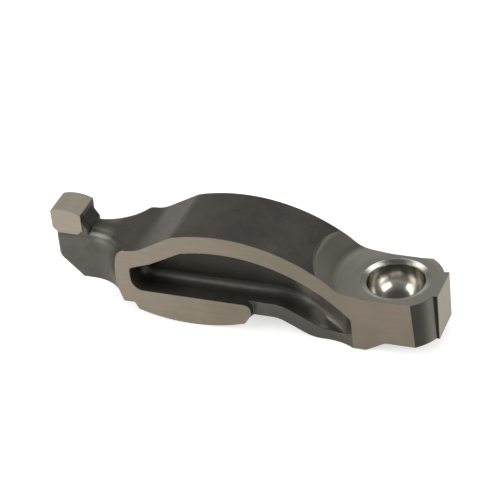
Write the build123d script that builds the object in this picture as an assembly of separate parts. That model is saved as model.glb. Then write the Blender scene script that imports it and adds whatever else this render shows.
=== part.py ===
from build123d import *
import os
from math import atan2, radians, sqrt, tan

# Finger-follower rocker arm of an overhead-cam engine, drop-forged in one piece, in millimetres.
# It lies as it rests on a bench: the ball socket and the valve tip face up, the cam pad faces down.
# Origin: centre of the ball socket's sphere. +Z: the socket's axis, out of its mouth.
# X runs along the arm, with the valve tip at -X. The two sides are mirror images about Y = 0.

# --- Driving dimensions ---------------------------------------------------------------------
width = 16.5               # across the two ground side faces
web_thickness = 5.0        # the web between the two side pockets
pocket_fillet = 2.0        # where the web meets the walls of a pocket

ball_radius = 6.0          # the ball that the socket seats on
socket_collar = 1.0        # straight wall of the socket above the sphere's centre
chamfer_radius = 7.2       # outer edge of the socket's chamfer
mouth_height = 1.4         # milled face round the socket's mouth
milled_flat = 8.8          # radius of the level part of the milled face
milled_rim = 12.6          # radius where the milled face turns up the arch
milled_rise = 0.7          # how much the milled face rises between the two
milled_slope = 45          # degrees, the milled cone that climbs the arch
milled_corner = 4.5        # corner radius between the milled face and its cone
milled_wall_corner = 1.5   # corner radius between the cone and the outer wall
milled_reach = 16.3        # outer wall of the milled recess, where it ends on the arch

end_radius = 9.85          # round end of the socket block, at the height of its mouth
end_draft = 2.0            # degrees, the block widens this much downward
lug_reach = 9.95           # end face of the lug, from the socket's axis
lug_width = 8.5
block_floor = 8.8          # underside of the block, below the socket's centre
block_face_x = -7.2        # where the block's ground side face begins
foot_x = -4.5              # front end of the foot that the block rests on
foot_floor = 11.2          # the foot, below the socket's centre
foot_ramp = 4.2            # length of the slope from the foot up to the block's underside
foot_round = 1.5           # corner of the foot
ramp_round = 2.5           # where the slope meets the underside

arch_centre_x = -34.5      # highest point of the arch
arch_crest = 11.5          # its height
arch_radius = 38.0         # outside of the arch
strip_thickness = 4.0      # the arch strip at its crest
arch_roof_end = 4.3        # underside of the strip at the block, below the socket's centre

body_left_x = -58.4        # left edge of the ground side faces
body_left_radius = 17.0    # that edge is a shallow arc, seen from the side
body_left_middle = -1.2    # height of the arc's centre
shoulder_length = 5.0      # from the left edge of the side faces to where the rise starts
shoulder_rise = 0.2        # the shoulder is this much higher than the tongue
shoulder_turn = 1.786      # from the shoulder's corner to where its rounding starts
rise_length = 8.5          # from the shoulder's turn to the arch
rise_round = 6.0

pad_centre_x = -42.5       # lowest line of the convex cam face
pad_floor = 11.0           # how far it lies below the socket's centre
pad_radius = 38.0          # curvature of the cam face
pad_top = 4.35             # the pad's upper side, below the socket's centre
pad_inset = 4.4            # from the left edge of the side faces to the cam face
pad_right_x = -28.9
pad_end_slant = 1.5        # the pad's free end leans back by this much
pad_end_round = 1.4
heel_floor = 7.6           # the small step beside the cam face, below the socket's centre
heel_setback = 1.0         # of the heel from the left edge of the side faces
heel_slope = 0.8           # length of the slope from the heel down to the cam face
heel_round = 1.0

pocket_inset = 3.3         # wall left of the pocket
pocket_left_height = 1.0   # roof of the pocket at its left end
pocket_bend_length = 4.8   # from the pocket's left end to where its roof turns up
pocket_bend_height = 2.7
pocket_rise_length = 7.1   # from that turn to the arch's inner curve
pocket_end_radius = 14.0   # where the pocket's floor curves out to the block's face
pocket_end_floor = 9.4     # lower right end of the pocket, below the socket's centre
pocket_corner = 2.8        # lower left corner of the pocket
pocket_roof_corner = 1.0   # upper left corner
pocket_roof_bend = 6.0
pocket_arch_bend = 4.0

flange_width = 13.2        # the lower flange between the pad and the block
flange_thickness = 3.2
flange_bend_x = -22.7      # where the flange turns down toward the foot
flange_slope = 27          # degrees
flange_foot_x = -14.3      # where the upper side of the flange levels out
flange_end_radius = 12.0   # where the flange widens into the block
flange_bend = 6.0          # radius of the flange's hollow bends
flange_crest = 8.0         # radius of its raised bends

tip_right_x = -67.1
tip_length = 6.8           # along the arm
tip_width = 6.9
tip_height = 9.9           # ground valve face, above the socket's centre
tip_depth = 5.8            # height of the tip block
tip_crest_share = 0.4      # the valve face is highest this far along it
tip_left_fall = 0.5        # how far the crowned valve face falls to its outer edge
tip_right_fall = 0.8       # and to its inner edge
tip_corner = 1.2           # cut lower corners of the tip block
tip_undercut = 0.3         # how far the tip block stands out over the tongue's end
neck_width = 6.2           # the neck that carries the tip block
neck_reach = 1.6           # it bulges this far past the tip block
neck_bulge = 5.6           # height of the bulge
neck_round = 1.0
tongue_width = 6.7
tongue_floor = 6.5         # underside of the tongue, below the socket's centre
tongue_cut = 5.3           # the slope between the tongue's end and its underside
tongue_height = 5.1        # flat top of the tongue
flare_radius = 9.0         # where the tongue widens into the body
crown_round = 2.3          # forged upper edges of the tongue
edge_round = 1.2           # rounding of the tongue's two end corners

margin = 5.0               # how far the cutting bodies stand out of the part
overlap = 1.0              # how far joined shapes reach into each other

half = width / 2
shoulder_x = body_left_x + shoulder_length
rise_x = shoulder_x + rise_length
shoulder_height = tongue_height + shoulder_rise
pad_left_x = body_left_x + pad_inset
pocket_left_x = body_left_x + pocket_inset
pocket_bend_x = pocket_left_x + pocket_bend_length
pocket_rise_x = pocket_bend_x + pocket_rise_length
inner_crest = arch_crest - strip_thickness
inner_fall = inner_crest + arch_roof_end
arch_inner_radius = ((block_face_x - arch_centre_x) ** 2 + inner_fall ** 2) / (2 * inner_fall)
tip_left_x = tip_right_x - tip_length
tip_base = tip_height - tip_depth


# --- Helpers --------------------------------------------------------------------------------
def side_solid(face, half_width):
    """A side-view face (x, z), made solid to half_width on both sides of the mid-plane."""
    return extrude(Plane.XZ * face, half_width, both=True)


def plan_solid(face):
    """A plan-view face (x, y), made solid over more than the part's height."""
    return extrude(face, foot_floor + arch_crest + margin, both=True)


def rounded(face, *corners):
    """The face with corners rounded; each is (x, y, radius), near a corner of the face."""
    for x, y, radius in corners:
        nearest = face.vertices().sort_by_distance((x, y, 0))[0]
        face = fillet(nearest, radius)
    return face


def arc_height(x, centre_x, crest, radius):
    """Height at x of a circle whose highest point is (centre_x, crest)."""
    return crest - radius + sqrt(radius ** 2 - (x - centre_x) ** 2)


def arc_reach(height, centre_x, crest, radius):
    """The x on the right side of that circle at a height."""
    return centre_x + sqrt(radius ** 2 - (height - crest + radius) ** 2)


def pad_height(x):
    """Height of the convex cam face at x."""
    return -arc_height(x, pad_centre_x, pad_floor, pad_radius)


# --- Outlines -------------------------------------------------------------------------------
def shoulder_round(rise_height):
    """The radius whose rounding starts shoulder_turn from the corner, however steep the rise."""
    tongue_slope = atan2(shoulder_rise, shoulder_x - tip_left_x - tip_undercut)
    rise_slope = atan2(rise_height - shoulder_height, rise_length)
    return shoulder_turn / tan((rise_slope - tongue_slope) / 2)


def side_outline():
    """Side view of the whole arm but the tip block: tongue, arch, block, foot, flange, pad."""
    blank_top = mouth_height + milled_rise + overlap
    arch_end_x = arc_reach(blank_top, arch_centre_x, arch_crest, arch_radius)
    rise_height = arc_height(rise_x, arch_centre_x, arch_crest, arch_radius)
    mid_x = (rise_x + arch_end_x) / 2
    mid_height = arc_height(mid_x, arch_centre_x, arch_crest, arch_radius)

    flange_floor = pad_top + flange_thickness
    slope_run = (foot_floor - flange_floor) / tan(radians(flange_slope))
    bend_floor_x = flange_bend_x - flange_thickness * tan(radians(flange_slope) / 2)
    foot_left_x = bend_floor_x + slope_run
    ramp_x = foot_x + foot_ramp

    pad_end_x = pad_right_x - pad_end_slant
    pad_end_height = pad_height(pad_end_x)
    heel_x = body_left_x + heel_setback
    tongue_x = tip_left_x + tip_undercut

    top = Polyline(
        (tongue_x, tongue_height),
        (shoulder_x, shoulder_height),
        (rise_x, rise_height),
    )
    arch = ThreePointArc((rise_x, rise_height), (mid_x, mid_height), (arch_end_x, blank_top))
    right = Polyline(
        (arch_end_x, blank_top),
        (lug_reach, blank_top),
        (lug_reach, -block_floor),
        (ramp_x, -block_floor),
        (foot_x, -foot_floor),
        (foot_left_x, -foot_floor),
        (bend_floor_x, -flange_floor),
        (pad_right_x, -flange_floor),
        (pad_end_x, pad_end_height),
    )
    pad = ThreePointArc(
        (pad_end_x, pad_end_height),
        (pad_centre_x, -pad_floor),
        (pad_left_x, pad_height(pad_left_x)),
    )
    left = Polyline(
        (pad_left_x, pad_height(pad_left_x)),
        (pad_left_x - heel_slope, -heel_floor),
        (heel_x, -heel_floor),
        (heel_x - heel_setback / 2, -tongue_floor),
        (tongue_x + tongue_cut, -tongue_floor),
        (tongue_x, -tongue_floor + tongue_cut),
        (tongue_x, tongue_height),
    )
    face = make_face(top + arch + right + pad + left)
    return rounded(
        face,
        (shoulder_x, shoulder_height, shoulder_round(rise_height)),
        (rise_x, rise_height, rise_round),
        (ramp_x, -block_floor, ramp_round),
        (foot_x, -foot_floor, foot_round),
        (foot_left_x, -foot_floor, flange_crest),
        (bend_floor_x, -flange_floor, flange_bend),
        (pad_left_x, pad_height(pad_left_x), heel_round),
    )


def run_out(floor_half, radius, end_x):
    """Where a wall at floor_half starts to curve out to the side face at end_x, and a point on it."""
    start_x = end_x - sqrt(radius ** 2 - (radius - half + floor_half) ** 2)
    mid_y = (floor_half + half) / 2
    mid_x = start_x + sqrt(radius ** 2 - (radius - mid_y + floor_half) ** 2)
    return start_x, (mid_x, mid_y)


def outside_plan(floor_half, radius, end_x, left_x):
    """Plan view of the space outside a wall at floor_half, which curves out to the side face."""
    start_x, on_arc = run_out(floor_half, radius, end_x)
    return make_face([
        Line((left_x, floor_half), (start_x, floor_half)),
        ThreePointArc((start_x, floor_half), on_arc, (end_x, half)),
        Polyline((end_x, half), (end_x, half + margin), (left_x, half + margin), (left_x, floor_half)),
    ])


def pocket_outline():
    """Side view of a pocket, from its rounded left end to the block's ground face."""
    roof_height = arc_height(pocket_rise_x, arch_centre_x, inner_crest, arch_inner_radius)
    mid_x = (pocket_rise_x + block_face_x) / 2
    mid_height = arc_height(mid_x, arch_centre_x, inner_crest, arch_inner_radius)
    drop = (flange_foot_x - flange_bend_x) * tan(radians(flange_slope))
    roof = ThreePointArc(
        (pocket_rise_x, roof_height),
        (mid_x, mid_height),
        (block_face_x, -arch_roof_end),
    )
    rest = Polyline(
        (block_face_x, -arch_roof_end),
        (block_face_x, -pocket_end_floor),
        (flange_foot_x, -pad_top - drop),
        (flange_bend_x, -pad_top),
        (pocket_left_x, -pad_top),
        (pocket_left_x, pocket_left_height),
        (pocket_bend_x, pocket_bend_height),
        (pocket_rise_x, roof_height),
    )
    return rounded(
        make_face(roof + rest),
        (flange_foot_x, -pad_top - drop, flange_bend),
        (flange_bend_x, -pad_top, flange_crest),
        (pocket_left_x, -pad_top, pocket_corner),
        (pocket_left_x, pocket_left_height, pocket_roof_corner),
        (pocket_bend_x, pocket_bend_height, pocket_roof_bend),
        (pocket_rise_x, roof_height, pocket_arch_bend),
    )


def relief_outline():
    """Side view of a pocket together with the space beside the lower flange."""
    bottom = -foot_floor - margin
    pad_end_x = pad_right_x - pad_end_slant
    slant_height = -(pad_top + flange_thickness) + pad_end_slant / 2
    beside_flange = make_face(Polyline(
        (pad_right_x, -pad_top + overlap),
        (pad_right_x, slant_height),
        (pad_end_x, pad_height(pad_end_x)),
        (pad_end_x, bottom),
        (block_face_x, bottom),
        (block_face_x, -pocket_end_floor + overlap),
        (flange_foot_x, -pad_top + overlap),
        (pad_right_x, -pad_top + overlap),
    ))
    return rounded(
        pocket_outline() + beside_flange,
        (pad_right_x, -pad_top, pad_end_round),
        (pad_right_x, slant_height, pad_end_round),
    )


# --- Solids ---------------------------------------------------------------------------------
def end_form():
    """Room for the arm up to the socket's axis, then the drafted round end and its lug."""
    low = -foot_floor - margin
    high = arch_crest + margin
    spread = tan(radians(end_draft))
    low_radius = end_radius + (mouth_height - low) * spread
    high_radius = end_radius - (high - mouth_height) * spread
    middle = (low + high) / 2
    length = tip_length - tip_right_x + margin
    round_end = Pos(0, 0, middle) * Cone(low_radius, high_radius, high - low)
    lug = Pos(lug_reach / 2, 0, middle) * Box(lug_reach, lug_width, high - low)
    arm_side = Pos(-length / 2, 0, middle) * Box(length, width + margin, high - low)
    return round_end + lug + arm_side


def flare_cut():
    """The space beside the tongue, on the +Y side. Turned about an axis along Y, so that the
    side face ends in a shallow arc, seen from the side."""
    plan = outside_plan(tongue_width / 2, flare_radius, body_left_x, tip_left_x - margin)
    centre_x = body_left_x + body_left_radius
    turn_axis = Axis((centre_x, 0, body_left_middle), (0, 1, 0))
    ring = revolve(Pos(0, 0, body_left_middle) * plan, turn_axis)
    left_x = tip_left_x - margin
    left_part = Pos((left_x + pad_left_x) / 2, 0, 0) * Box(pad_left_x - left_x, 4 * width, 4 * width)
    return ring & left_part


def arm_blank():
    """The forging before its pockets, socket and milled face are cut."""
    blank = side_solid(side_outline(), half) & end_form()
    flare = flare_cut()
    blank = blank - flare - mirror(flare, Plane.XZ)
    return rounded_tongue(blank)


def rounded_tongue(blank):
    """The blank with the upper edges of its tongue and flare rounded, then the end corners."""
    upper = tongue_edges(blank).filter_by_position(Axis.Z, tongue_height, shoulder_height)
    blank = fillet(upper, crown_round)
    end_corners = tongue_edges(blank).filter_by(Axis.Z)
    return fillet(end_corners, edge_round)


def tongue_edges(blank):
    """The edges along the tongue and its flares, without those across it or on a side face."""
    near = blank.edges().filter_by_position(Axis.X, tip_left_x, pad_left_x)
    return near.filter_by(Axis.Y, reverse=True).filter_by_position(Axis.Y, -half, half, (False, False))


def pocket_cut():
    """The pocket of the +Y side, down to the web, rounded where the web meets its walls."""
    web = web_thickness / 2
    floor = outside_plan(web, pocket_end_radius, block_face_x, pocket_left_x - margin)
    space = side_solid(pocket_outline(), half + margin) & plan_solid(floor)
    rim = space.edges().filter_by_position(Axis.Y, web, web).filter_by(Axis.Z, reverse=True)
    return fillet(rim, pocket_fillet)


def relief_cut():
    """The step from the ground side face back to the lower flange, on the +Y side."""
    floor = outside_plan(flange_width / 2, flange_end_radius, block_face_x, pad_right_x - margin)
    return side_solid(relief_outline(), half + margin) & plan_solid(floor)


def milled_cut():
    """Everything above the milled face: level round the socket, a cone and a wall at the arch."""
    top = arch_crest + margin
    wall_height = mouth_height + milled_rise + (milled_reach - milled_rim) * tan(radians(milled_slope))
    face = make_face(Polyline(
        (0, mouth_height),
        (milled_flat, mouth_height),
        (milled_rim, mouth_height + milled_rise),
        (milled_reach, wall_height),
        (milled_reach, top),
        (0, top),
        (0, mouth_height),
    ))
    face = rounded(
        face,
        (milled_rim, mouth_height + milled_rise, milled_corner),
        (milled_reach, wall_height, milled_wall_corner),
    )
    return revolve(Plane.XZ * face, Axis.Z)


def socket_cut():
    """The ball socket: a hemisphere, a short collar and a chamfered mouth."""
    collar = extrude(Circle(ball_radius), socket_collar)
    chamfer_height = mouth_height - socket_collar
    mouth = loft([
        Plane.XY.offset(socket_collar) * Circle(ball_radius),
        Plane.XY.offset(socket_collar + chamfer_height) * Circle(chamfer_radius),
    ])
    return Sphere(ball_radius) + collar + mouth


def tip_block():
    """The valve tip: crowned ground face and cut lower corners."""
    crest_x = tip_left_x + tip_length * tip_crest_share
    face = make_face([
        ThreePointArc(
            (tip_left_x, tip_height - tip_left_fall),
            (crest_x, tip_height),
            (tip_right_x, tip_height - tip_right_fall),
        ),
        Polyline(
            (tip_right_x, tip_height - tip_right_fall),
            (tip_right_x, tip_base + tip_corner),
            (tip_right_x - tip_corner, tip_base),
            (tip_left_x + tip_corner, tip_base),
            (tip_left_x, tip_base + tip_corner),
            (tip_left_x, tip_height - tip_left_fall),
        ),
    ])
    return side_solid(face, tip_width / 2)


def neck():
    """The neck under the tip block, which bulges out toward the arch."""
    low = tip_base - crown_round
    high = tip_height - tip_right_fall - overlap
    face = make_face(Polyline(
        (tip_left_x + tip_corner, low),
        (tip_left_x + tip_corner, tip_base + overlap),
        (tip_right_x - tip_corner, high),
        (tip_right_x, high),
        (tip_right_x + neck_reach, neck_bulge),
        (tip_right_x + neck_reach, low),
        (tip_left_x + tip_corner, low),
    ))
    solid = side_solid(face, neck_width / 2)
    outer = solid.edges().filter_by_position(Axis.X, tip_right_x, tip_right_x + neck_reach)
    return fillet(outer.filter_by(Axis.Y, reverse=True), neck_round)


def rocker_arm():
    """The whole arm."""
    arm = arm_blank()
    for cut in (pocket_cut(), relief_cut()):
        arm = arm - cut - mirror(cut, Plane.XZ)
    arm = arm - milled_cut()
    arm = arm - socket_cut()
    return arm + neck() + tip_block()


os.makedirs("parts", exist_ok=True)
export_step(rocker_arm(), "parts/rocker_arm.step")
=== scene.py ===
from math import cos, pi, radians, sin
from types import SimpleNamespace

import bpy
from mathutils import Matrix, Vector


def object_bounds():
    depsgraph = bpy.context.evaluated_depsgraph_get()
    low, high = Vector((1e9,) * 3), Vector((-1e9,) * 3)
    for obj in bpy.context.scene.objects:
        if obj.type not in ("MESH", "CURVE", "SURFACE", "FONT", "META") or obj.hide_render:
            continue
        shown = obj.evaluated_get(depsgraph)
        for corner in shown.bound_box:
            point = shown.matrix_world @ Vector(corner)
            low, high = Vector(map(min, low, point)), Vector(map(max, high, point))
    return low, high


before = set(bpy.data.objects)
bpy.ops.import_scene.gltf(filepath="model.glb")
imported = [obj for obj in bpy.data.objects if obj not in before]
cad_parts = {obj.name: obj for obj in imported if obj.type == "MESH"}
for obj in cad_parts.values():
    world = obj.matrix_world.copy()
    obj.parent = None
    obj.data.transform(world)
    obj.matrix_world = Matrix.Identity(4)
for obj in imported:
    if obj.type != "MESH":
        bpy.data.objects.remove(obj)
cad_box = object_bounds()
arm = bpy.data.objects["rocker_arm"]

MM = 0.001

# --- Where the finishes and the painted light and shade lie on the part, in mm ------------------
HIGH = Vector(cad_box[1]) / MM         # the part's highest corner
INSIDE = 0.05                          # how far inside the part's box the next two limits lie
SIDE_Y = HIGH.y - INSIDE               # the ground side faces lie farther from the mid-plane
LUG_X = HIGH.x - INSIDE                # the lug's face lies right of this
TIP_X, TIP_Z = -66.9, 3.95             # the tip block lies left of and above this
TIP_SIDE_Y, TIP_TOP_Z = 3.42, 8.9      # its sides lie farther out, its valve face above
NECK_X = -65.2                         # the neck lies left of this
SHINE_X, SHINE_Y, SHINE_Z = -62.6, 2.8, 4.6  # middle of the painted highlight on each side of the tongue
SHINE_REACH = 3.4
PAD_LEFT_X, PAD_RIGHT_X = -54.2, -29.0
PAD_Z = -8.3                           # the cam pad's face lies below
WEB_LEFT_X, WEB_RIGHT_X = -55.5, -20.0
WEB_Y = 3.1                            # the web's faces lie nearer the mid-plane
SHADE_REACH = 9.0                     # walls nearer than this make a hollow, which gets painted shade
SHADE_FADE_X = (-23.0, -17.0)               # the painted shade fades out from here to there
LIT_END_LEFT_X, LIT_END_RIGHT_X = -19.5, -7.2
LIT_END_Y, LIT_END_TOP_Z = 6.4, 1.5          # the painted highlight lies nearer the mid-plane and below
LIT_END_FLOOR_X = -16.8                   # its sloping floor lies right of this
FALLOFF_X = (-60.0, -10.0)                # painted shade: the ground side darkens from here to there, standing in for the lamps' falloff
MOUTH_Z = 0.98                         # the milled face and the chamfer lie above this
MILLED_REACH, CHAMFER_REACH = 16.32, 7.22   # they lie nearer the socket's axis
BOWL_Z, BOWL_REACH = 1.01, 6.12        # the bowl lies below this and nearer the sphere's centre
PAST_BOWL = 6.08                       # the milled face and the chamfer lie farther from it
BEARING_Z = (-2.3, -0.9)               # the bowl is bright below these heights, duller above
ROUND_END_X, ROUND_END_Z = 4.8, 1.38   # the round end lies right of and below this
ROUND_END_REACH = 9.5                  # and farther from the socket's axis
LUG_SIDE_X, LUG_Y = 8.0, 4.4           # the lug's sides lie right of this, nearer the mid-plane
EDGE_RADIUS, RELIEF_DEPTH = 0.35, 0.12
LINE_SCALE = (80.0, 900.0, 4200.0)     # the ground lines' noise to a metre: long along the arm
RING_SCALE = 7.0                       # how far a mm goes in the turning marks' noise, unscaled

# --- How far a normal looks along an axis, 1 being straight along it ----------------------------
STRICTLY_ALONG, ALONG, NOT_ALONG = 0.995, 0.99, 0.97

# --- Colours, sRGB of 0..255 --------------------------------------------------------------------
SCALE_DARK, SCALE_LIGHT, SCALE_WARM = (79, 78, 73), (94, 92, 85), (97, 89, 81)
# the last of these is painted shade for the hollows
SPECK, PIT, RECESS_SHADE = (116, 112, 102), (46, 45, 41), (22, 21, 18)
# painted shade on the web and the neck, a painted highlight on the tongue's upper edges
WEB_SHADE, NECK_SHADE, TONGUE_HIGHLIGHT = (30, 29, 26), (38, 35, 29), (146, 142, 134)
# painted shade and a painted highlight on the round end, near-black painted shade on the lug's sides
END_SHADE, END_HIGHLIGHT, LUG_SIDE_SHADE = (34, 33, 28), (136, 133, 124), (20, 17, 13)
# a painted highlight at the pocket's end, on its wall, web and sloping floor
LIT_END_WALL, LIT_END_WEB, LIT_END_FLOOR = (104, 101, 95), (134, 130, 123), (196, 192, 182)
GROUND_DARK, GROUND_LIGHT, GROUND_RED = (127, 121, 104), (137, 128, 113), (141, 126, 115)
# the first two are painted light and shade along the ground side, lighter at the tip, darker at the socket
FALLOFF_LIT, FALLOFF_SHADE, GROUND_LINE = (190, 180, 164), (104, 97, 85), (112, 104, 92)
# lighter copies of the ground finish for the tip's sides, the lug's face and the valve face, with painted
# light set face by face
TIP_SIDE, LUG_FACE_LIT, VALVE_FACE_LIT = (158, 148, 135), (172, 166, 154), (181, 172, 156)
LEVEL_DARK, LEVEL_LIGHT = (134, 132, 123), (146, 144, 135)
# a darker copy of the milled finish: painted shade where the cut climbs the arch
STEEP_SHADE_DARK, STEEP_SHADE_LIGHT = (106, 105, 96), (120, 118, 108)
BOWL_DARK, BOWL_LIGHT, BOWL_RIM = (216, 214, 206), (226, 224, 217), (172, 168, 158)
MOUTH = (200, 198, 189)
EDGE = (176, 170, 158)
SHEEN = (0.55, 0.54, 0.5, 1.0)         # linear, unlike the colours above


# --- Camera: the view of the reference, in which the part lies tilted about Y -------------------
AZIMUTH, ELEVATION, TILT = radians(20.12), radians(36.67), radians(5.5)
FOCAL_PX, SCALE_PX_PER_MM = 2300.0, 4.98
ANCHOR, ANCHOR_PX = Vector((0, 0, 1.2)), (396.0, 279.85)
FRAME_PX, SENSOR = 500, 36.0


def tilted(v):
    """The vector turned about Y, from the reference's level to the part's own frame."""
    c, s = cos(TILT), sin(TILT)
    return Vector((v.x * c + v.z * s, v.y, -v.x * s + v.z * c))


def add_camera():
    """A camera that sees ANCHOR, a point in mm, at ANCHOR_PX and at SCALE_PX_PER_MM."""
    right = Vector((cos(AZIMUTH), sin(AZIMUTH), 0))
    back = Vector((sin(AZIMUTH) * cos(ELEVATION), -cos(AZIMUTH) * cos(ELEVATION), sin(ELEVATION)))
    up = back.cross(right)
    right, up, back = tilted(right), tilted(up), tilted(back)
    distance = FOCAL_PX / SCALE_PX_PER_MM
    shift_x = (ANCHOR_PX[0] - FRAME_PX / 2) / SCALE_PX_PER_MM
    shift_y = (ANCHOR_PX[1] - FRAME_PX / 2) / SCALE_PX_PER_MM
    place = (ANCHOR - right * shift_x + up * shift_y + back * distance) * MM
    data = bpy.data.cameras.new("camera")
    data.sensor_width = SENSOR
    data.lens = FOCAL_PX / FRAME_PX * SENSOR
    data.clip_start, data.clip_end = 0.01, 10
    camera = bpy.data.objects.new("camera", data)
    bpy.context.scene.collection.objects.link(camera)
    camera.matrix_world = Matrix((
        (right.x, up.x, back.x, place.x),
        (right.y, up.y, back.y, place.y),
        (right.z, up.z, back.z, place.z),
        (0, 0, 0, 1),
    ))
    bpy.context.scene.camera = camera


# --- Shader writing -----------------------------------------------------------------------------
class Shader:
    """Short calls that add nodes to one node tree and join them up. A mask is 0 to 1.

    A Mix node has sockets of each kind: its colours are inputs 6 and 7 and output 2, its plain
    values inputs 2 and 3 and output 0.
    """

    def __init__(self, tree):
        self.tree = tree
        tree.nodes.clear()

    def node(self, kind, inputs=None, **settings):
        made = self.tree.nodes.new("ShaderNode" + kind)
        for name, value in settings.items():
            setattr(made, name, value)
        for name, value in (inputs or {}).items():
            self.join(value, made.inputs[name])
        return made

    def join(self, value, socket):
        if isinstance(value, bpy.types.NodeSocket):
            self.tree.links.new(value, socket)
        else:
            socket.default_value = value

    def math(self, operation, a, b=0.0):
        return self.node("Math", {0: a, 1: b}, operation=operation).outputs[0]

    def both(self, *masks):
        """The masks, or masks and shares, multiplied: 1 where all of them are."""
        found = masks[0]
        for mask in masks[1:]:
            found = self.math("MULTIPLY", found, mask)
        return found

    def either(self, *masks):
        found = masks[0]
        for mask in masks[1:]:
            found = self.math("MAXIMUM", found, mask)
        return found

    def length(self, *parts):
        total = self.math("MULTIPLY", parts[0], parts[0])
        for part in parts[1:]:
            total = self.math("ADD", total, self.math("MULTIPLY", part, part))
        return self.math("SQRT", total)

    def above(self, value, edge, soft=0.0):
        """1 where value is over edge, 0 below it, over a soft width."""
        if not soft:
            return self.math("GREATER_THAN", value, edge)
        return self.span(value, edge - soft / 2, edge + soft / 2)

    def below(self, value, edge, soft=0.0):
        return self.math("SUBTRACT", 1.0, self.above(value, edge, soft))

    def span(self, value, low, high, to_low=0.0, to_high=1.0):
        """value from low..high to to_low..to_high in a soft curve, held at both ends."""
        inputs = {"Value": value, "From Min": low, "From Max": high, "To Min": to_low, "To Max": to_high}
        return self.node("MapRange", inputs, interpolation_type="SMOOTHSTEP").outputs[0]

    def noise(self, where, scale, detail, roughness):
        inputs = {"Vector": where, "Scale": scale, "Detail": detail, "Roughness": roughness}
        return self.node("TexNoise", inputs).outputs[0]

    def mix(self, share, a, b):
        """Colours a and b; share is that of b."""
        made = self.node("Mix", data_type="RGBA")
        self.join(share, made.inputs[0])
        self.join(linear(a), made.inputs[6])
        self.join(linear(b), made.inputs[7])
        return made.outputs[2]

    def mix_value(self, share, a, b):
        made = self.node("Mix", data_type="FLOAT")
        self.join(share, made.inputs[0])
        self.join(a, made.inputs[2])
        self.join(b, made.inputs[3])
        return made.outputs[0]

    def layered(self, base, *layers):
        """The base colour under layers, each a share and a colour, the last one on top."""
        for share, tint in layers:
            base = self.mix(share, base, tint)
        return base


def linear(value):
    """An sRGB triple of 0..255 as linear colour; a socket stays as it is."""
    if not isinstance(value, tuple):
        return value
    shares = [v / 255 for v in value]
    return tuple(v / 12.92 if v <= 0.04045 else ((v + 0.055) / 1.055) ** 2.4 for v in shares) + (1.0,)


# --- Forged steel -------------------------------------------------------------------------------
def find_point(s):
    """Where the shaded point lies, in mm, and how far it looks ahead (+X), to a side and up."""
    place = s.node("TexCoord").outputs["Object"]
    axis = s.node("SeparateXYZ", {0: place})
    normal = s.node("NewGeometry").outputs["Normal"]
    facing = s.node("SeparateXYZ", {0: normal})
    x = s.math("MULTIPLY", axis.outputs[0], 1 / MM)
    y = s.math("ABSOLUTE", s.math("MULTIPLY", axis.outputs[1], 1 / MM))
    z = s.math("MULTIPLY", axis.outputs[2], 1 / MM)
    reach = s.length(x, y)
    return SimpleNamespace(
        place=place, x=x, y=y, z=z, normal=normal,
        reach=reach,               # from the socket's axis
        ball=s.length(reach, z),   # from the centre of its sphere
        ahead=facing.outputs[0],
        side=s.math("ABSOLUTE", facing.outputs[1]),
        rise=facing.outputs[2],
    )


def find_marks(s, at):
    """Noise fixed to the part: broad and fine marks, ground lines and turning marks."""
    along_arm = s.node("Mapping", {"Vector": at.place, "Scale": LINE_SCALE}).outputs[0]
    ring_reach, ring_height = (s.math("MULTIPLY", value, RING_SCALE) for value in (at.reach, at.z))
    rings = s.node("CombineXYZ", {0: ring_reach, 1: ring_height})
    return SimpleNamespace(
        tone=s.noise(at.place, 60.0, 2.0, 0.5),
        broad=s.noise(at.place, 130.0, 4.0, 0.6),
        blotch=s.noise(at.place, 420.0, 3.0, 0.6),
        speck=s.noise(at.place, 900.0, 5.0, 0.7),
        grain=s.noise(at.place, 2600.0, 3.0, 0.6),
        lines=s.noise(along_arm, 1.0, 3.0, 0.55),
        turning=s.noise(rings.outputs[0], 1.6, 5.0, 0.75),
    )


def find_zones(s, at):
    """Masks of the ground, milled and polished faces, from where they lie and look."""
    ground_side = s.both(s.above(at.y, SIDE_Y), s.above(at.side, STRICTLY_ALONG))
    tip = s.both(s.below(at.x, TIP_X), s.above(at.z, TIP_Z))
    tip_side = s.both(tip, s.above(at.y, TIP_SIDE_Y), s.above(at.side, ALONG))
    tip_top = s.both(tip, s.above(at.z, TIP_TOP_Z), s.above(at.rise, 0.8))
    lug_face = s.both(s.above(at.x, LUG_X), s.above(at.ahead, ALONG))
    under_pad = s.both(s.below(at.z, PAD_Z), s.below(at.rise, -0.85))
    pad_face = s.both(under_pad, s.below(at.x, PAD_RIGHT_X), s.above(at.x, PAD_LEFT_X))
    past_bowl = s.both(s.above(at.z, MOUTH_Z), s.above(at.ball, PAST_BOWL))
    pale = s.either(tip_side, tip_top, lug_face)
    mouth = s.both(past_bowl, s.below(at.reach, CHAMFER_REACH), s.below(at.rise, NOT_ALONG))
    bowl = s.both(s.below(at.ball, BOWL_REACH), s.below(at.z, BOWL_Z))
    within_cut = s.both(s.below(at.reach, MILLED_REACH), s.below(at.side, NOT_ALONG))
    milled = s.both(past_bowl, within_cut, s.above(at.rise, 0.05))
    return SimpleNamespace(
        tip_top=tip_top, lug_face=lug_face, pale=pale, mouth=mouth, bowl=bowl, milled=milled,
        ground=s.either(ground_side, pad_face, pale),
        polished=s.either(bowl, mouth),
    )


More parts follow.
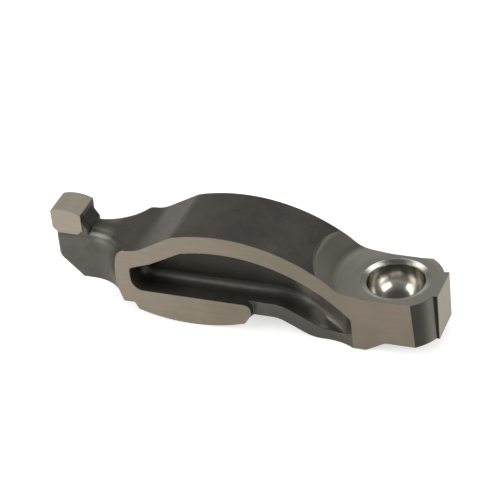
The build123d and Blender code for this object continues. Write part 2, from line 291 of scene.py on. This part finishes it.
def forged_skin(s, at, mark):
    """Dark scale with pits, specks and random lighter and darker places, under painted shade and highlights.
    """
    open_share = s.node("AmbientOcclusion", {"Distance": SHADE_REACH * MM}, samples=8).outputs["AO"]
    # painted shade: darker where ambient occlusion finds near walls, fading out toward the socket
    recess_shade = s.both(s.span(open_share, 0.75, 0.25), s.span(at.x, *SHADE_FADE_X, 1.0, 0.15))
    return s.layered(
        s.mix(s.span(mark.broad, 0.3, 0.7), SCALE_DARK, SCALE_LIGHT),
        (s.span(mark.tone, 0.4, 0.65, 0.0, 0.3), SCALE_WARM),
        (s.span(mark.speck, 0.55, 0.75, 0.0, 0.3), SPECK),
        (s.span(mark.grain, 0.3, 0.6, 0.22, 0.0), PIT),
        # painted shade in the hollows
        (s.both(recess_shade, 0.8), RECESS_SHADE),
        # painted shade on the web deep in the pockets
        (s.both(shaded_web_zone(s, at), 0.65), WEB_SHADE),
        # painted shade and highlight on the round end, painted shade on the lug's sides
        *round_end_shading_layers(s, at),
        # a blotchy painted highlight at the pocket's end
        pocket_end_highlight(s, at, mark),
        # painted shade on the neck under the tip block
        (s.both(shaded_neck_zone(s, at), 0.8), NECK_SHADE),
        # a painted highlight on the tongue's upper edges
        (s.both(tongue_highlight_zone(s, at), 0.6), TONGUE_HIGHLIGHT),
    )


def shaded_web_zone(s, at):
    """Where the web at the bottom of the pockets gets painted shade."""
    along = s.both(s.above(at.x, WEB_LEFT_X), s.below(at.x, WEB_RIGHT_X, 4.0))
    return s.both(s.below(at.y, WEB_Y, 1.0), s.above(at.side, 0.9, 0.1), along)


def shaded_neck_zone(s, at):
    """The neck under the tip block, where it looks toward the arch, which gets painted shade."""
    near = s.both(s.below(at.x, NECK_X), s.above(at.z, TIP_Z))
    return s.both(near, s.below(at.side, NOT_ALONG), s.above(at.ahead, 0.3))


def tongue_highlight_zone(s, at):
    """A soft painted highlight on each upper edge of the tongue."""
    off_x, off_y, off_z = (
        s.math("SUBTRACT", value, middle)
        for value, middle in ((at.x, SHINE_X), (at.y, SHINE_Y), (at.z, SHINE_Z))
    )
    off = s.length(off_x, off_y, off_z)
    return s.both(s.span(off, SHINE_REACH, 0.3), s.above(at.rise, 0.05, 0.2))


def round_end_shading_layers(s, at):
    """Painted shade on the round end where it looks to a side and a painted highlight where it looks ahead;
    near-black painted shade on the lug's sides.
    """
    upright = s.below(s.math("ABSOLUTE", at.rise), 0.3)
    round_end = s.both(s.above(at.x, ROUND_END_X), s.below(at.z, ROUND_END_Z), upright)
    round_end = s.both(round_end, s.above(at.reach, ROUND_END_REACH))
    lug_side = s.both(s.above(at.x, LUG_SIDE_X), s.above(at.side, ALONG), s.below(at.y, LUG_Y))
    return (
        (s.both(round_end, s.span(at.side, 0.35, 0.8), s.below(lug_side, 0.5), 0.7), END_SHADE),
        (s.both(round_end, s.span(at.side, 0.7, 0.35), 0.85), END_HIGHLIGHT),
        (s.both(lug_side, 0.95), LUG_SIDE_SHADE),
    )


def pocket_end_highlight(s, at, mark):
    """A blotchy painted highlight at the pocket's end by the socket, lightest on its sloping floor."""
    along = s.both(s.above(at.x, LIT_END_LEFT_X, 4.0), s.below(at.x, LIT_END_RIGHT_X))
    across = s.both(s.below(at.y, LIT_END_Y, 0.3), s.below(at.z, LIT_END_TOP_Z, 3.0))
    place = s.both(along, across, s.above(at.rise, -0.35, 0.2))
    floor = s.both(s.span(at.rise, 0.5, 0.8), s.span(at.ahead, -0.05, 0.3), s.above(at.x, LIT_END_FLOOR_X, 2.4))
    tint = s.mix(floor, s.mix(s.span(at.side, 0.6, 0.95), LIT_END_WALL, LIT_END_WEB), LIT_END_FLOOR)
    return s.both(place, s.span(mark.blotch, 0.4, 0.62, 0.45, 0.8)), tint


def ground_face(s, at, mark, zone):
    """A warm grey with fine lines along the arm, with painted light toward the tip and painted shade toward
    the socket; paler tip and lug, whose tints hold painted light set face by face.
    """
    plain = s.mix(s.span(mark.broad, 0.38, 0.62), GROUND_DARK, GROUND_LIGHT)
    plain = s.mix(s.span(mark.tone, 0.42, 0.6, 0.0, 0.6), plain, GROUND_RED)
    # painted light at the tip and painted shade toward the socket, standing in for the lamps' falloff
    painted_falloff = s.span(at.x, *FALLOFF_X, 0.0, 0.95)
    plain = s.mix(painted_falloff, s.mix(0.12, plain, FALLOFF_LIT), s.mix(0.3, plain, FALLOFF_SHADE))
    # the tip's and lug's faces: lighter copies of the ground finish, with painted light set face by face
    pale_lit_tint = s.mix(zone.tip_top, s.mix(zone.lug_face, TIP_SIDE, LUG_FACE_LIT), VALVE_FACE_LIT)
    return s.layered(
        plain,
        (zone.pale, pale_lit_tint),
        (s.span(mark.lines, 0.35, 0.65, 0.0, 0.05), GROUND_LINE),
    )


def milled_face(s, at, mark):
    """Turning marks round the socket's axis, with painted shade where the cut climbs the arch."""
    ring = s.span(mark.turning, 0.3, 0.7)
    shaded_steep = s.mix(ring, STEEP_SHADE_DARK, STEEP_SHADE_LIGHT)
    level = s.mix(ring, LEVEL_DARK, LEVEL_LIGHT)
    return s.mix(s.span(at.rise, 0.8, 0.99), shaded_steep, level)


def polished_bowl(s, at, mark):
    """Bright where the ball bears, duller at the rim."""
    bearing = s.mix(s.span(mark.broad, 0.3, 0.7), BOWL_DARK, BOWL_LIGHT)
    return s.mix(s.span(at.z, *BEARING_Z), bearing, BOWL_RIM)


def steel():
    """One steel, whose finishes are told apart by where a face lies and which way it looks."""
    made = bpy.data.materials.new("rocker_steel")
    made.use_nodes = True
    s = Shader(made.node_tree)
    at = find_point(s)
    mark = find_marks(s, at)
    zone = find_zones(s, at)

    # a rounded normal, and worn edges from how far it turns away from the face's own
    soft_edge = s.node("Bevel", {"Radius": EDGE_RADIUS * MM}, samples=6).outputs[0]
    turned = s.node("VectorMath", {0: soft_edge, 1: at.normal}, operation="DOT_PRODUCT").outputs["Value"]
    worn_edge = s.span(turned, 0.985, 0.86)

    tint = s.layered(
        forged_skin(s, at, mark),
        (zone.ground, ground_face(s, at, mark, zone)),
        (zone.milled, milled_face(s, at, mark)),
        (zone.bowl, polished_bowl(s, at, mark)),
        (zone.mouth, MOUTH),
        (s.both(worn_edge, 0.35), EDGE),
    )
    rough = s.span(mark.grain, 0.3, 0.7, 0.28, 0.4)
    rough = s.mix_value(zone.ground, rough, s.span(mark.lines, 0.3, 0.7, 0.4, 0.52))
    rough = s.mix_value(zone.milled, rough, s.span(mark.turning, 0.3, 0.7, 0.36, 0.46))
    rough = s.mix_value(zone.polished, rough, 0.2)
    metal = s.mix_value(zone.ground, 0.55, 0.7)
    metal = s.mix_value(zone.milled, metal, 0.5)
    metal = s.mix_value(zone.polished, metal, 1.0)
    height = s.math("ADD", s.math("MULTIPLY", mark.grain, 0.4), s.math("MULTIPLY", mark.speck, 0.6))
    height = s.mix_value(zone.ground, height, s.math("MULTIPLY", mark.lines, 0.2))
    height = s.mix_value(zone.milled, height, s.math("MULTIPLY", mark.turning, 0.2))
    height = s.mix_value(zone.bowl, height, 0.0)
    relief = {"Height": height, "Strength": 0.35, "Distance": RELIEF_DEPTH * MM, "Normal": soft_edge}

    surface = {"Base Color": tint, "Roughness": rough, "Metallic": metal, "Specular Tint": SHEEN,
               "Normal": s.node("Bump", relief).outputs[0]}
    shader = s.node("BsdfPrincipled", surface)
    s.node("OutputMaterial", {"Surface": shader.outputs[0]})
    return made


# --- Stage --------------------------------------------------------------------------------------
FLOOR_HALF, FLOOR_Z = 1.5, cad_box[0][2]   # metres, as the lamps' sizes and distances are
PAPER, PAPER_GLOW, WHITE = (0.8, 0.8, 0.8, 1), 0.62, (1, 1, 1, 1)


def seen_directly(s):
    """1 for camera, glossy and transmission rays."""
    path = s.node("LightPath")
    return s.either(*(path.outputs["Is %s Ray" % kind] for kind in ("Camera", "Glossy", "Transmission")))


def add_floor():
    """White paper under the part, clear from below so that the underside can be seen."""
    mesh = bpy.data.meshes.new("floor")
    r = FLOOR_HALF
    corners = [(x, y, FLOOR_Z) for x, y in ((-r, -r), (r, -r), (r, r), (-r, r))]
    mesh.from_pydata(corners, [], [(0, 1, 2, 3)])
    floor = bpy.data.objects.new("floor", mesh)
    bpy.context.scene.collection.objects.link(floor)
    made = bpy.data.materials.new("floor_white")
    made.use_nodes = True
    s = Shader(made.node_tree)
    paper = s.node("BsdfDiffuse", {"Color": PAPER})
    strength = s.math("MULTIPLY", seen_directly(s), PAPER_GLOW)
    glow = s.node("Emission", {"Color": WHITE, "Strength": strength})
    white = s.node("AddShader", {0: paper.outputs[0], 1: glow.outputs[0]})
    clear = s.node("BsdfTransparent")
    from_below = s.node("NewGeometry").outputs["Backfacing"]
    shader = s.node("MixShader", {0: from_below, 1: white.outputs[0], 2: clear.outputs[0]})
    s.node("OutputMaterial", {"Surface": shader.outputs[0]})
    mesh.materials.append(made)


def add_world():
    """A pale room: white where it is seen, and in reflections pale at eye level, dark overhead."""
    world = bpy.data.worlds.new("studio")
    bpy.context.scene.world = world
    world.use_nodes = True
    s = Shader(world.node_tree)
    path = s.node("LightPath")
    direction = s.node("SeparateXYZ", {0: s.node("TexCoord").outputs["Generated"]})
    up = direction.outputs[2]
    mirrored = s.both(s.span(up, 0.0, 0.55, 0.8, 0.2), s.span(up, 0.6, 0.9, 1.0, 0.3))
    room = s.mix_value(path.outputs["Is Glossy Ray"], 0.5, mirrored)
    strength = s.mix_value(path.outputs["Is Camera Ray"], room, 1.0)
    back = s.node("Background", {"Color": WHITE, "Strength": strength})
    s.node("OutputWorld", {"Surface": back.outputs[0]})


def add_lamp(name, aim, azimuth, elevation, distance, size, glow, tint=(1, 1, 1)):
    """A soft box aimed at x = aim on the arm and seen from there at azimuth (0 = front,
    90 = +X side) and elevation in degrees; glow is how bright its face looks, 1 is white."""
    a, e = radians(azimuth), radians(elevation)
    toward = Vector((sin(a) * cos(e), -cos(a) * cos(e), sin(e)))
    data = bpy.data.lights.new(name, "AREA")
    data.shape, data.size, data.size_y = "RECTANGLE", size[0], size[1]
    data.energy, data.color = glow * pi * size[0] * size[1], tint
    lamp = bpy.data.objects.new(name, data)
    bpy.context.scene.collection.objects.link(lamp)
    lamp.location = Vector((aim, 0, 0)) + toward * distance
    lamp.rotation_euler = (-toward).to_track_quat("-Z", "Y").to_euler()


add_camera()
add_floor()
add_world()
arm.material_slots[0].material = steel()
add_lamp("near window", -0.07, -30, 38, 0.16, (0.1, 0.07), 1.7, (0.97, 1.0, 0.97))
add_lamp("window", -0.03, -66, 33, 0.4, (0.44, 0.15), 2.4, (0.98, 1.0, 0.98))
add_lamp("strip", 0.0, 67, 31, 0.5, (0.36, 0.16), 2.6, (1.0, 0.96, 0.9))
add_lamp("back left", 0.0, -140, 53, 0.6, (0.2, 0.14), 2.6)
add_lamp("back right", 0.0, 168, 57, 0.6, (0.2, 0.14), 2.6)

scene = bpy.context.scene
scene.view_settings.view_transform = "Standard"
